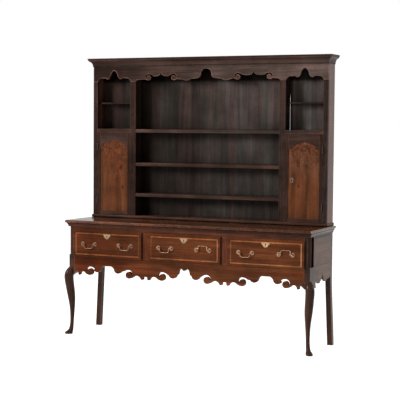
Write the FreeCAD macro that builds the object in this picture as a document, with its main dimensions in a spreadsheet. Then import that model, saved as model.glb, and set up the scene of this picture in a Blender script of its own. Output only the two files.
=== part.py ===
import FreeCAD
import Part
import math
import os
import re

# A Welsh dresser: a base of three drawers on cabriole legs, and on it a rack of open shelves
# between two small cupboards. Millimetres, +Z up, the front towards -Y, and the origin on the
# floor under the middle of the board.

SIZES = {
    # The board and the carcase of the base
    "board_depth": 511,
    "board_thick": 20,
    "board_nose": 8,
    "side_overhang": 19,
    "front_overhang": 35,
    "back_overhang": 12,
    "base_width": 1862,
    "post_size": 42,
    "post_depth": 84,
    "rail_thick": 22,
    "apron_depth": 98,
    "drawer_opening": 179,
    "rail_depth": 58,
    "muntin_width": 62,
    "panel_thick": 16,
    "panel_lift": 2,
    "back_thick": 14,
    "back_inset": 6,
    "tongue_depth": 8,
    "tongue_thick": 8,
    "tenon_length": 18,
    "tenon_thick": 8,
    "tenon_shoulder": 6,
    "runner_thick": 20,
    "runner_ledge": 20,
    "guide_height": 30,
    "kicker_thick": 16,
    # The moulding under the board, and at the front corners the quarter columns and the
    # recess behind each
    "moulding_height": 27,
    "moulding_out": 14,
    "moulding_foot": 6,
    "moulding_band": 6,
    "column_radius": 20,
    "column_lift": 2,
    "column_shy": 2,
    "recess_length": 52,
    "recess_depth": 30,
    # Stations up a cabriole leg: height above the floor or drop below the post, reach along the
    # outward diagonal on each axis, breadth across the diagonal, and how much longer it is along it
    "sole_reach": 23, "sole_breadth": 42, "sole_stretch": 12,
    "pad_height": 10, "pad_reach": 24, "pad_breadth": 47, "pad_stretch": 13,
    "instep_height": 27, "instep_reach": 15, "instep_breadth": 35, "instep_stretch": 6,
    "heel_height": 50, "heel_reach": 9.5, "heel_breadth": 29, "heel_stretch": 1.5,
    "ankle_height": 110, "ankle_reach": 6, "ankle_breadth": 28, "ankle_stretch": 0.5,
    "shin_drop": 280, "shin_reach": 5.5, "shin_breadth": 38.5, "shin_stretch": 2,
    "calf_drop": 190, "calf_reach": 11.5, "calf_breadth": 55.5, "calf_stretch": 3,
    "thigh_drop": 110, "thigh_reach": 20, "thigh_breadth": 60, "thigh_stretch": 5,
    "knee_drop": 55, "knee_reach": 23, "knee_breadth": 62, "knee_stretch": 6,
    "brow_drop": 18, "brow_reach": 17, "brow_breadth": 57, "brow_stretch": 5,
    "crest_lift": 15, "crest_reach": 1, "crest_breadth": 38, "crest_stretch": 1,
    "post_low": 485,
    "rear_leg": 37,
    "rear_splay": 20,
    "bend_drop": 45,
    # Fretted edges: lowest tips, rise of the cut above them, and scroll radii
    "tip_drop": 53,
    "apron_rise": 82,
    "apron_scroll": 24,
    "outer_lift": 7,
    "ear_width": 20,
    "ear_drop": 54,
    "side_drop": 21,
    "side_rise": 64,
    "side_ear": 74,
    "ear_hook": 12,
    "frieze_depth": 149,
    "frieze_rise": 90,
    "frieze_scroll": 18,
    # Drawers
    "drawer_lip": 7,
    "drawer_proud": 8,
    "drawer_gap": 1.5,
    "lip_gap": 0.3,
    "front_inside": 14,
    "front_lap": 8,
    "drawer_side": 12,
    "drawer_back_gap": 34,
    "run_gap": 0.3,
    "headroom": 4,
    "bottom_thick": 8,
    "bottom_lift": 10,
    "bottom_groove": 5,
    "back_drop": 10,
    # Handles, escutcheons and locks
    "handle_spread": 294,
    "handle_lift": 87,
    "post_spacing": 100,
    "rose_radius": 15.5,
    "rose_thick": 3,
    "neck_radius": 4.5,
    "ball_radius": 7,
    "pivot_reach": 14,
    "shank_radius": 3,
    "shank_gap": 0.1,
    "nut_size": 14,
    "nut_thick": 5,
    "bail_radius": 2.7,
    "bail_drop": 31,
    "bail_neck": 8,
    "neck_turn": 105,
    "pin_gap": 0.05,
    "bail_rest_gap": 0.3,
    "plate_width": 66,
    "plate_height": 40,
    "plate_thick": 1.5,
    "plate_inset": 14,
    "keyhole_radius": 4.2,
    "keyhole_slot": 4.6,
    "keyhole_drop": 12,
    "lock_width": 62,
    "lock_height": 40,
    "lock_thick": 13,
    # Rack
    "rack_inset": 4,
    "rack_depth": 134,
    "plinth_thick": 22,
    "plinth_out": 9,
    "plinth_nose": 8,
    "side_thick": 22,
    "divider_thick": 24,
    "cupboard_pitch": 335,
    "divider_stile": 44,
    "outer_stile": 35,
    "stile_thick": 18,
    "flute_radius": 3,
    "flute_depth": 1.6,
    "housing": 6,
    "plank_thick": 15,
    "plank_rebate": 12,
    "plank_gap": 0.1,
    "wide_gap": 1.2,
    "gap_behind": 9,
    "gap_lift": 32,
    "cornice_height": 62,
    "cornice_out": 34,
    "top_thick": 16,
    "top_drop": 8,
    "shelf_thick": 27,
    "shelf_setback": 3,
    "shelf_nose": 6,
    "lower_bay": 167.5,
    "middle_bay": 227,
    "upper_bay": 248,
    "open_bay": 350.5,
    "cupboard_height": 643,
    "cupboard_board": 25,
    "niche_height": 196,
    "niche_board": 10,
    "niche_setback": 14,
    # Doors, their hinges, and the right door's lock
    "door_thick": 20,
    "leaf_play": 0.4,
    "door_free_gap": 1.6,
    "door_end_gap": 2,
    "door_stile": 22,
    "door_foot": 24,
    "shoulder_drop": 102,
    "door_arch": 56,
    "arch_inset": 27,
    "panel_set": 4,
    "door_panel": 8,
    "door_groove": 6,
    "door_tenon": 16,
    "hinge_height": 54,
    "hinge_inset": 80,
    "leaf_depth": 16,
    "leaf_thick": 1,
    "knuckle_radius": 3.5,
    "knuckle_clear": 0.1,
    "knuckle_gap": 0.3,
    "hinge_pin": 1.5,
    "hinge_play": 0.06,
    "keyhole_lift": 292,
    "keyhole_inset": 48,
    "oval_width": 26,
    "oval_height": 38,
    "door_lock_width": 36,
    "door_lock_height": 60,
    "door_lock_thick": 12,
}

# Places worked out from the sizes, each a formula
PLACES = {
    "back": "board_depth / 2",
    "front": "front_overhang - board_depth / 2",
    "base_back": "board_depth / 2 - back_overhang",
    "base_half": "base_width / 2",
    "post_in": "base_half - post_size",
    "post_back": "front + post_depth",
    "rail_back": "front + rail_thick",
    "rear_in": "base_half - rear_leg",
    "rear_front": "base_back - rear_leg",
    "back_front": "base_back - back_inset - back_thick",
    "opening_low": "post_low + apron_depth",
    "opening_high": "opening_low + drawer_opening",
    "under_board": "opening_high + rail_depth",
    "board_top": "under_board + board_thick",
    "board_half": "base_half + side_overhang",
    "panel_low": "opening_low + panel_lift",
    "column_low": "panel_low + column_lift",
    "column_high": "under_board - moulding_height - column_shy",
    "bay": "(base_width - 2 * post_size - 2 * muntin_width) / 3",
    "pitch": "bay + muntin_width",
    "panel_in": "base_half - panel_thick",
    "apron_tip": "post_low - tip_drop",
    "side_tip": "post_low - side_drop",
    "rear_bend": "post_low - bend_drop",
    "apron_end": "post_in - ear_width",
    "ear_end": "front + post_size + side_ear",
    "face": "front - drawer_proud",
    "inside": "front + front_inside",
    "drawer_end": "back_front - drawer_back_gap",
    "drawer_low": "opening_low + run_gap",
    "drawer_high": "opening_high - headroom",
    "box_half": "bay / 2 - drawer_gap",
    "pivot": "face - pivot_reach",
    "handle_height": "opening_low + handle_lift",
    "plate_top": "opening_high - plate_inset",
    "rack_half": "base_half - rack_inset",
    "rack_front": "back - rack_depth",
    "stile_back": "rack_front + stile_thick",
    "plank_front": "back - plank_thick",
    "plinth_top": "board_top + plinth_thick",
    "lower_shelf": "plinth_top + lower_bay",
    "middle_shelf": "lower_shelf + middle_bay",
    "upper_shelf": "middle_shelf + upper_bay",
    "frieze_low": "upper_shelf + open_bay",
    "frame_top": "frieze_low + frieze_depth",
    "rack_top": "frame_top + top_thick + top_drop",
    "cupboard_top": "plinth_top + cupboard_height",
    "niche_shelf": "cupboard_top + niche_height",
    "divider_centre": "rack_half - cupboard_pitch",
    "cornice_low": "rack_top - cornice_height",
    "side_in": "rack_half - side_thick",
    "divider_in": "divider_centre - divider_thick / 2",
    "divider_out": "divider_centre + divider_thick / 2",
    "bay_half": "divider_centre - divider_stile / 2",
    "niche_in": "divider_centre + divider_stile / 2",
    "niche_out": "rack_half - outer_stile",
    "niche_mid": "(niche_in + niche_out) / 2",
    "niche_half": "(niche_out - niche_in) / 2",
    "door_gap": "2 * leaf_thick + leaf_play",
    "door_in": "niche_in + door_free_gap",
    "door_out": "niche_out - door_gap",
    "door_mid": "(door_in + door_out) / 2",
    "door_half": "(door_out - door_in) / 2",
    "sight_half": "door_half - door_stile",
    "arch_half": "sight_half - arch_inset",
    "door_shoulder": "door_high - shoulder_drop",
    "keyhole_height": "door_low + keyhole_lift",
    "door_low": "plinth_top + door_end_gap",
    "door_high": "cupboard_top - cupboard_board - door_end_gap",
    "door_sill": "door_low + door_foot",
    "panel_face": "rack_front + panel_set",
    "panel_back": "panel_face + door_panel",
    "hinge_x": "niche_out - door_gap / 2",
    "hinge_y": "rack_front - knuckle_radius - knuckle_clear",
}

STATIONS = {
    "sole": "0",
    "pad": "pad_height",
    "instep": "instep_height",
    "heel": "heel_height",
    "ankle": "ankle_height",
    "shin": "post_low - shin_drop",
    "calf": "post_low - calf_drop",
    "thigh": "post_low - thigh_drop",
    "knee": "post_low - knee_drop",
    "brow": "post_low - brow_drop",
    "crest": "post_low + crest_lift",
}
LEFT, RIGHT = -1, 1
SIDES = {"left": LEFT, "right": RIGHT}
BAYS = {"left": -1, "middle": 0, "right": 1}
# The photographed state: these two bails are turned up, the other four hang
RAISED = ("middle_right", "right_right")

# Outlines run from corner to corner, with a point on the arc, or None for a straight run,
# between each two. Fretted edges are in shares of their length and of their rise.
SCROLL = [
    (-1.6, -0.5), (-0.9, -0.86), (-0.1, -1.0), (1.0, 0.0), (0.05, 1.0), (-0.62, 0.74), (-0.9, 0.15),
    (-1.1, 0.0), (-1.3, 0.2), (-0.93, 1.18), (0.1, 1.55), (0.9, 1.42), (1.6, 1.05),
]
SIDE_ARCH = [(0, 1.0), None, (0.09, 1.0), (0.145, 0.9), (0.175, 0.73), (0.275, 0.41), (0.365, 0.58)]
MIDDLE_ARCH = [
    (0, 1.02), (0.035, 1.07), (0.065, 1.22), (0.115, 1.1), (0.135, 0.9), None, (0.15, 0.68),
    None, (0.185, 0.62), (0.29, 0.3), (0.385, 0.52),
]
APRON_SCROLL_AT = (0.565, 0.34)
APRON_TAIL = [
    (0.775, 0.33), (0.88, 0.1), (0.915, 0.0), (0.945, 0.08), None, (0.95, 0.27), None, (1.0, 0.29),
]
FRIEZE_BELL = [
    (0, 1.0), (0.053, 0.86), (0.074, 0.52), (0.088, 0.34), (0.116, 0.23), None, (0.21, 0.17),
    (0.245, 0.07), (0.28, 0.03), (0.32, 0.1), (0.35, 0.14),
]
# How far along each half of the frieze its inner scroll and its cusp lie: hand cut, the halves differ
FRIEZE_SCROLL_AT = {LEFT: 0.456, RIGHT: 0.436}
FRIEZE_CUSP_AT = {LEFT: 0.635, RIGHT: 0.647}
FRIEZE_SCROLL_UP = 0.29
FRIEZE_CUSP = [(-0.105, 0.42), (-0.07, 0.44), (-0.03, 0.48), (0.0, 0.733)]
FRIEZE_END = [(0.935, 0.15), (0.965, 0.14), (0.99, 0.09), (1.0, 0.0)]
NICHE_ARCH = [
    (0, 0.944), (0.13, 0.78), (0.21, 0.54), (0.28, 0.31), (0.4, 0.2), (0.56, 0.31), (0.71, 0.29),
    (0.92, 0.2), (1.0, 0.0),
]
SIDE_FRET = [
    (0, 1.0), (0.045, 0.75), (0.115, 0.53), (0.155, 0.31), (0.25, 0.19), (0.39, 0.0), (0.545, 0.16),
]
# Shares of the rack's width where one back plank meets the next
PLANK_JOINTS = (0.086, 0.173, 0.266, 0.348, 0.443, 0.546, 0.612, 0.688, 0.757, 0.915)

doc = FreeCAD.newDocument("welsh_dresser")
sheet = doc.addObject("Spreadsheet::Sheet", "sizes")
for row, (alias, amount) in enumerate(SIZES.items(), start=1):
    sheet.set(f"A{row}", alias)
    sheet.set(f"B{row}", str(amount))
    sheet.setAlias(f"B{row}", alias)
doc.recompute()

nodes = {}


# Formulas and sizes

def spell(text, prefix):
    """Write a formula out in sizes alone, with the prefix before each."""
    def swap(match):
        word = match.group(0)
        if word in PLACES:
            return "(" + spell(PLACES[word], prefix) + ")"
        return prefix + word if word in SIZES else word
    return re.sub(r"[a-z][a-z_]*", swap, text)


def number(text):
    """The value of a formula in millimetres or degrees."""
    return float(sheet.evalExpression(spell(text, "")))


def bind(piece, prop, text):
    piece.setExpression(prop, spell(text, sheet.Name + "."))


def place(piece, corner):
    for axis, text in zip("xyz", corner):
        bind(piece, "Placement.Base." + axis, text)


def sided(side, low, high):
    """A span on the right, or its mirror image on the left."""
    return (low, high) if side == RIGHT else (f"-({high})", f"-({low})")


def at(side, text):
    return text if side == RIGHT else f"-({text})"


# Solids

TURNS = {
    "x": FreeCAD.Rotation(FreeCAD.Vector(0, 1, 0), 90),
    "y": FreeCAD.Rotation(FreeCAD.Vector(1, 0, 0), -90),
    "z": FreeCAD.Rotation(),
}


def block(name, x, y, z):
    """A box between a low and a high formula on each axis."""
    piece = doc.addObject("Part::Box", name)
    for prop, (low, high) in zip(("Length", "Width", "Height"), (x, y, z)):
        bind(piece, prop, f"({high}) - ({low})")
    place(piece, (x[0], y[0], z[0]))
    return piece


def rod(name, axis, radius, start, length):
    """A round bar from a start point along an axis."""
    piece = doc.addObject("Part::Cylinder", name)
    piece.Placement = FreeCAD.Placement(FreeCAD.Vector(), TURNS[axis])
    bind(piece, "Radius", radius)
    bind(piece, "Height", length)
    place(piece, start)
    return piece


def ball(name, radius, centre):
    piece = doc.addObject("Part::Sphere", name)
    bind(piece, "Radius", radius)
    place(piece, centre)
    return piece


def fuse(name, *pieces):
    piece = doc.addObject("Part::MultiFuse", name)
    piece.Shapes = list(pieces)
    return piece


def cut(name, base, *tools):
    piece = doc.addObject("Part::Cut", name)
    piece.Base = base
    piece.Tool = tools[0] if len(tools) == 1 else group(name + "_tools", *tools)
    return piece


def common(name, first, second):
    piece = doc.addObject("Part::MultiCommon", name)
    piece.Shapes = [first, second]
    return piece


def group(name, *pieces):
    piece = doc.addObject("Part::Compound", name)
    piece.Links = list(pieces)
    return piece


def node(name, piece):
    """Name a finished piece, or a set of like pieces, of the dresser."""
    piece.Label = name
    nodes[name] = piece
    return piece


def edges(path):
    """Lines and arcs through an outline's corners and the points between them."""
    points = [spot and FreeCAD.Vector(*spot, 0) for spot in path]
    drawn = []
    for start, middle, end in zip(points[0::2], points[1::2], points[2::2]):
        if middle is None:
            drawn.append(Part.LineSegment(start, end))
        else:
            drawn.append(Part.Arc(start, middle, end))
    return drawn


def straight(*corners):
    """A path of straight runs through some corners and back to the first."""
    path = [corners[0]]
    for corner in corners[1:] + corners[:1]:
        path += [None, corner]
    return path


def board(name, plane, path, low, thick):
    """A flat board of a drawn outline, sketched on a plane and padded by its thickness."""
    body = doc.addObject("PartDesign::Body", name)
    sketch = body.newObject("Sketcher::SketchObject", name + "_outline")
    support = [part for part in body.Origin.OriginFeatures if part.Role == plane + "_Plane"]
    sketch.AttachmentSupport = (support[0], [""])
    sketch.MapMode = "FlatFace"
    facing_back = plane == "XZ"
    bind(sketch, "AttachmentOffset.Base.z", f"-({low})" if facing_back else low)
    sketch.addGeometry(edges(path), False)
    pad = body.newObject("PartDesign::Pad", name + "_pad")
    pad.Profile = sketch
    bind(pad, "Length", thick)
    pad.Reversed = facing_back
    return body


def rounded(name, base, wanted, radius):
    """Round the edges of a plain box whose middles lie where wanted says."""
    doc.recompute()
    piece = doc.addObject("Part::Fillet", name)
    piece.Base = base
    size = min(number(radius), 0.45 * base.Shape.BoundBox.ZLength)
    chosen = []
    for index, edge in enumerate(base.Shape.Edges, start=1):
        if wanted(edge.CenterOfMass, base.Shape.BoundBox):
            chosen.append((index, size, size))
    piece.Edges = chosen
    return piece


def nosed(middle, box):
    """True on the long edges of a board's front and ends."""
    level = min(abs(middle.z - box.ZMin), abs(middle.z - box.ZMax)) < 0.01
    front = abs(middle.y - box.YMin) < 0.01
    end = min(abs(middle.x - box.XMin), abs(middle.x - box.XMax)) < 0.01
    return level and (front or end)


def front_nosed(middle, box):
    """True on the long edges of a shelf's front."""
    level = min(abs(middle.z - box.ZMin), abs(middle.z - box.ZMax)) < 0.01
    return level and abs(middle.y - box.YMin) < 0.01


def mirrored(path):
    return [spot and (-spot[0], spot[1]) for spot in reversed(path)]


def moved(path, across, up):
    return [spot and (spot[0] + across, spot[1] + up) for spot in path]


def stretched(path, length, rise):
    return [spot and (spot[0] * length, spot[1] * rise) for spot in path]


def scroll(centre, radius, facing):
    """A scroll's round lobe and hooked cut, from its tail to its mouth."""
    return moved([(facing * along * radius, up * radius) for along, up in SCROLL], *centre)


# Mouldings

def mitred(name, path, half, front_y, back_y, low, out):
    """Three lengths of one moulding round the front and ends, mitred at the corners.

    The path gives the section as pairs of reach outwards and height above low.
    """
    reach = number(out)
    wide = number(half)
    fore = number(front_y)
    aft = number(back_y)
    base = number(low)
    across = [spot and (fore - spot[0], base + spot[1]) for spot in path]
    front_bar = board(
        name + "_front_bar", "YZ", across, f"-({half}) - ({out})", f"2 * (({half}) + ({out}))",
    )
    front_miter = straight(
        (-wide, fore), (wide, fore), (wide + reach, fore - reach), (-wide - reach, fore - reach),
    )
    front_wedge = board(name + "_front_miter", "XY", front_miter, low, f"rack_top - ({low}) + 1")
    lengths = [common(name + "_front", front_bar, front_wedge)]
    for label, side in SIDES.items():
        along = [spot and (side * (wide + spot[0]), base + spot[1]) for spot in path]
        end_bar = board(
            f"{name}_{label}_bar", "XZ", along, f"({front_y}) - ({out})",
            f"({back_y}) - ({front_y}) + ({out})",
        )
        end_miter = straight(
            (side * wide, fore), (side * (wide + reach), fore - reach), (side * (wide + reach), aft),
            (side * wide, aft),
        )
        end_wedge = board(f"{name}_{label}_miter", "XY", end_miter, low, f"rack_top - ({low}) + 1")
        lengths.append(common(f"{name}_{label}", end_bar, end_wedge))
    return node(name, group(name, *lengths))


def make_board_moulding():
    """A band with a hollow above it, under the edge of the board."""
    high, out, foot, band = (
        number(word) for word in ("moulding_height", "moulding_out", "moulding_foot", "moulding_band")
    )
    lip = high - band
    section = [
        (0, 0), None, (foot, 0), None, (foot, band), (foot + 0.3 * (out - foot), 0.5 * high), (out, lip),
        None, (out, high), None, (0, high), None, (0, 0),
    ]
    mitred(
        "board_moulding", section, "base_half", "front", "base_back", "under_board - moulding_height",
        "moulding_out",
    )


def make_cornice():
    """From the foot up: a narrow band, a hollow running into a round, and a square top edge."""
    out, high = number("cornice_out"), number("cornice_height")
    shares = [
        (0, 0), None, (0.12, 0), None, (0.12, 0.08), (0.24, 0.38), (0.55, 0.6), (0.84, 0.71), (0.94, 0.86),
        None, (1, 0.86), None, (1, 1), None, (0, 1), None, (0, 0),
    ]
    mitred(
        "cornice", stretched(shares, out, high), "rack_half", "rack_front", "back", "cornice_low",
        "cornice_out",
    )


# Base

def make_dresser_board():
    slab = block(
        "board_slab", ("-(board_half)", "board_half"), ("-board_depth / 2", "board_depth / 2"),
        ("under_board", "board_top"),
    )
    node("dresser_board", rounded("dresser_board", slab, nosed, "board_nose"))


def tenon(name, side, z):
    """A rail's tenon into a front post, the same solid for tenon and mortise."""
    return block(
        name, sided(side, "post_in", "post_in + tenon_length"),
        ("front + (rail_thick - tenon_thick) / 2", "front + (rail_thick + tenon_thick) / 2"), z,
    )


RAIL_TENON = ("column_high + tenon_shoulder / 2", "under_board - tenon_shoulder")
APRON_TENON = ("post_low + tenon_shoulder", "column_low - tenon_shoulder")


def make_rail_and_dividers():
    """The rail over the drawers, and the two muntins stub-tenoned into it and the apron."""
    stubs = []
    muntins = []
    for label, side in SIDES.items():
        spot = at(side, "pitch / 2")
        depth = ("front + (rail_thick - tenon_thick) / 2", "front + (rail_thick + tenon_thick) / 2")
        stub = block(
            f"muntin_stub_{label}", (f"{spot} - muntin_width / 4", f"{spot} + muntin_width / 4"), depth,
            ("opening_low - tenon_length / 2", "opening_high + tenon_length / 2"),
        )
        upright = block(
            f"muntin_upright_{label}", (f"{spot} - muntin_width / 2", f"{spot} + muntin_width / 2"),
            ("front", "rail_back"), ("opening_low", "opening_high"),
        )
        stubs.append(stub)
        muntins.append(fuse(f"muntin_{label}", upright, stub))
    node("drawer_dividers", group("drawer_dividers", *muntins))
    bar = block(
        "rail_bar", ("-(post_in)", "post_in"), ("front", "rail_back"), ("opening_high", "under_board"),
    )
    ends = [tenon(f"rail_tenon_{label}", side, RAIL_TENON) for label, side in SIDES.items()]
    node("drawer_rail", cut("drawer_rail", fuse("rail_with_tenons", bar, *ends), *stubs))
    return stubs


def half_bay(arch, full, length, lift):
    """Half of one bay of the apron's fretted edge, from its middle outwards.

    The arch is drawn for a full half bay, also where the scroll and tip beyond it have less length.
    The lift raises the scroll and the tip.
    """
    rise = number("apron_rise")
    radius = number("apron_scroll")
    across, up = APRON_SCROLL_AT
    curl = scroll((across * length, up * rise + lift), radius, -1)
    opening = stretched(arch, full, rise)
    ending = moved(stretched(APRON_TAIL, length, rise), 0, lift)
    return opening + [None] + curl[::-1] + ending


def make_front_apron(stubs):
    """The shaped board under the drawers: three fretted bays with scrolls, tips at their ends."""
    pitch = number("pitch")
    tip = number("apron_tip")
    inner = pitch / 2
    between = (inner, 0)
    outer = (number("apron_end") - pitch, number("outer_lift"))
    edge = []
    for spot, arch, left, right in (
        (-pitch, SIDE_ARCH, outer, between), (0, MIDDLE_ARCH, between, between),
        (pitch, SIDE_ARCH, between, outer),
    ):
        left_half = mirrored(half_bay(arch, inner, *left))
        bay_edge = moved(left_half + half_bay(arch, inner, *right)[1:], spot, tip)
        edge = edge + bay_edge[1:] if edge else bay_edge
    post_in, seat, top, end = (number(word) for word in ("post_in", "post_low", "opening_low", "apron_end"))
    for corner in (
        (end, seat), (post_in, seat), (post_in, top), (-post_in, top), (-post_in, seat), (-end, seat),
    ):
        edge += [None, corner]
    edge += [None, edge[0]]
    shaped = board("apron_board", "XZ", edge, "front", "rail_thick")
    ends = [tenon(f"apron_tenon_{label}", side, APRON_TENON) for label, side in SIDES.items()]
    node("front_apron", cut("front_apron", fuse("apron_with_tenons", shaped, *ends), *stubs))


def side_panel(label, side):
    """A panel between the posts, tongued into both."""
    inset = "(panel_thick - tongue_thick) / 2"
    flat = block(
        f"panel_flat_{label}", sided(side, "panel_in", "base_half"), ("post_back", "rear_front"),
        ("panel_low", "under_board"),
    )
    tongue = block(
        f"panel_tongue_{label}", sided(side, f"panel_in + {inset}", f"base_half - {inset}"),
        ("post_back - tongue_depth", "rear_front + tongue_depth"), ("panel_low", "under_board"),
    )
    return fuse(f"side_panel_{label}", flat, tongue)


def make_front_leg(label, side, panel):
    """A cabriole leg and its post in one piece, cut for the quarter column and the recess."""
    sections = []
    for station, height in STATIONS.items():
        ring = doc.addObject("Part::Ellipse", f"{station}_{label}")
        turn = FreeCAD.Rotation(FreeCAD.Vector(0, 0, 1), -90 + side * 45)
        ring.Placement = FreeCAD.Placement(FreeCAD.Vector(), turn)
        bind(ring, "MajorRadius", f"({station}_breadth + {station}_stretch) / 2")
        bind(ring, "MinorRadius", f"{station}_breadth / 2")
        place(ring, (
            at(side, f"base_half - post_size / 2 + {station}_reach"),
            f"front + post_size / 2 - {station}_reach", height,
        ))
        sections.append(ring)
    limb = doc.addObject("Part::Loft", f"limb_{label}")
    limb.Sections = sections
    limb.Solid = True
    post = block(
        f"post_{label}", sided(side, "post_in", "base_half"), ("front", "post_back"),
        ("post_low", "under_board"),
    )
    tall = ("column_low", "column_high")
    corner = "front + column_radius"
    seat = block(
        f"column_seat_{label}", sided(side, "base_half - column_radius", "base_half + 1"),
        ("front - 1", corner), tall,
    )
    recess = block(
        f"corner_recess_{label}", sided(side, "base_half - recess_depth", "base_half + 1"),
        (corner, f"{corner} + recess_length"), tall,
    )
    mortises = [
        tenon(f"{which}_mortise_{label}", side, z)
        for which, z in (("rail", RAIL_TENON), ("apron", APRON_TENON))
    ]
    whole = fuse(f"leg_blank_{label}", limb, post)
    return node(f"front_leg_{label}", cut(f"front_leg_{label}", whole, seat, recess, panel, *mortises))


def make_quarter_columns():
    columns = []
    for label, side in SIDES.items():
        column = rod(
            f"column_{label}", "z", "column_radius",
            (at(side, "base_half - column_radius"), "front + column_radius", "column_low"),
            "column_high - column_low",
        )
        column.Angle = 90
        column.Placement.Rotation = FreeCAD.Rotation(FreeCAD.Vector(0, 0, 1), -90 if side == RIGHT else 180)
        columns.append(column)
    node("quarter_columns", group("quarter_columns", *columns))


def make_rear_leg(label, side, panel):
    """A straight square leg whose foot splays outwards."""
    inner, outer, top, bend, splay = (
        number(word) for word in ("rear_in", "base_half", "under_board", "rear_bend", "rear_splay")
    )
    corners = (
        (inner, top), (outer, top), (outer, bend), (outer + splay, 0), (inner + splay, 0), (inner, bend),
    )
    path = straight(*((side * x, z) for x, z in corners))
    blank = board(f"rear_blank_{label}", "XZ", path, "rear_front", "rear_leg")
    node(f"rear_leg_{label}", cut(f"rear_leg_{label}", blank, panel))


def make_side_aprons():
    """A board under each side panel, with a pointed notch in its edge and a seat for the knee's ear."""
    aprons = []
    fore, aft, tip, rise, seat, top = (
        number(word)
        for word in ("post_back", "rear_front", "side_tip", "side_rise", "post_low", "panel_low")
    )
    ear_end = number("ear_end")
    wave = stretched(SIDE_FRET, (aft - fore) / 2, rise)
    edge = moved(mirrored(wave) + wave[1:], (fore + aft) / 2, tip)
    path = edge
    for corner in ((aft, seat), (aft, top), (fore, top), (fore, seat), (ear_end, seat), edge[0]):
        path = path + [None, corner]
    for label, side in SIDES.items():
        low = "panel_in" if side == RIGHT else "-(base_half)"
        aprons.append(board(f"side_apron_{label}", "YZ", path, low, "panel_thick"))
    node("side_aprons", group("side_aprons", *aprons))


def make_knee_brackets(legs):
    """Ears that carry the curve of each knee up to the front apron and the side apron."""
    brackets = []
    post_in, end, seat, drop = (number(word) for word in ("post_in", "apron_end", "post_low", "ear_drop"))
    knee = post_in + number("post_size") / 2
    side_leg, ear_end, hook = number("front + post_size / 2"), number("ear_end"), number("ear_hook")
    for label, side in SIDES.items():
        front_path = [
            (end, seat), None, (end, seat - 0.4 * drop), (end + 0.3 * (knee - end), seat - 0.6 * drop),
            (knee, seat - drop), None, (knee, seat), None, (end, seat),
        ]
        placed = [spot and (side * spot[0], spot[1]) for spot in front_path]
        front_ear = board(f"front_ear_{label}", "XZ", placed, "front", "rail_thick")
        side_path = [
            (side_leg, seat), None, (ear_end, seat), (ear_end, seat - 0.35 * drop),
            (ear_end + hook, seat - 0.8 * drop),
            (ear_end - 2 * hook, seat - 0.8 * drop), (side_leg, seat - 1.2 * drop), None, (side_leg, seat),
        ]
        low = "panel_in" if side == RIGHT else "-(base_half)"
        side_ear = board(f"side_ear_{label}", "YZ", side_path, low, "panel_thick")
        brackets.append(cut(f"front_bracket_{label}", front_ear, legs[label]))
        brackets.append(cut(f"side_bracket_{label}", side_ear, legs[label]))
    node("knee_brackets", group("knee_brackets", *brackets))


def make_drawer_runners():
    """Under each drawer's sides a runner, beside them a guide, over them a kicker."""
    strips = []
    for label, side in SIDES.items():
        ledge = sided(side, "post_in - runner_ledge", "panel_in")
        length = ("post_back", "rear_front")
        strips += [
            block(f"runner_{label}", ledge, length, ("opening_low - runner_thick", "opening_low")),
            block(
                f"guide_{label}", sided(side, "post_in", "panel_in"), length,
                ("opening_low", "opening_low + guide_height"),
            ),
            block(f"kicker_{label}", ledge, length, ("opening_high", "opening_high + kicker_thick")),
        ]
        spot = at(side, "pitch / 2")
        wide = (f"{spot} - muntin_width / 2 - runner_ledge", f"{spot} + muntin_width / 2 + runner_ledge")
        narrow = (f"{spot} - muntin_width / 2", f"{spot} + muntin_width / 2")
        length = ("rail_back", "back_front")
        strips += [
            block(f"inner_runner_{label}", wide, length, ("opening_low - runner_thick", "opening_low")),
            block(f"inner_guide_{label}", narrow, length, ("opening_low", "opening_low + guide_height")),
            block(f"inner_kicker_{label}", wide, length, ("opening_high", "opening_high + kicker_thick")),
        ]
    node("drawer_runners", group("drawer_runners", *strips))


def make_base():
    make_dresser_board()
    make_board_moulding()
    stubs = make_rail_and_dividers()
    make_front_apron(stubs)
    panels = {label: side_panel(label, side) for label, side in SIDES.items()}
    node("side_panels", group("side_panels", *panels.values()))
    legs = {label: make_front_leg(label, side, panels[label]) for label, side in SIDES.items()}
    for label, side in SIDES.items():
        make_rear_leg(label, side, panels[label])
    make_quarter_columns()
    make_side_aprons()
    make_knee_brackets(legs)
    make_drawer_runners()
    back_panel = block(
        "base_back", ("-(rear_in)", "rear_in"), ("back_front", "base_back - back_inset"),
        ("panel_low", "under_board"),
    )
    node("base_back", back_panel)


# Drawers

def keyhole(name, spot, height, start, length):
    """A round hole with a slot below it, through a plate and the wood behind."""
    hole = rod(f"{name}_hole", "y", "keyhole_radius", (spot, start, height), length)
    slot = block(
        f"{name}_slot", (f"{spot} - keyhole_slot / 2", f"{spot} + keyhole_slot / 2"),
        (start, f"{start} + {length}"),
        (f"{height} - keyhole_drop", height),
    )
    return fuse(f"{name}_key", hole, slot)


def make_escutcheon(name, spot, key):
    """A shield-shaped plate, widest near its top."""
    middle, top, high, wide = (
        number(word) for word in (spot, "plate_top", "plate_height", "plate_width / 2")
    )
    half = [
        (0, -1.0), (0.42, -0.76), (0.62, -0.5), (0.78, -0.4), (1.0, -0.38), (0.9, -0.2), (0.86, 0.0),
        (0.45, -0.1), (0, 0.0),
    ]
    right = stretched(half, wide, high)
    path = moved(right + mirrored(right)[1:], middle, top)
    plate = board(f"{name}_plate", "XZ", path, "face - plate_thick", "plate_thick")
    node(f"{name}_escutcheon", cut(f"{name}_escutcheon", plate, key))


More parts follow.
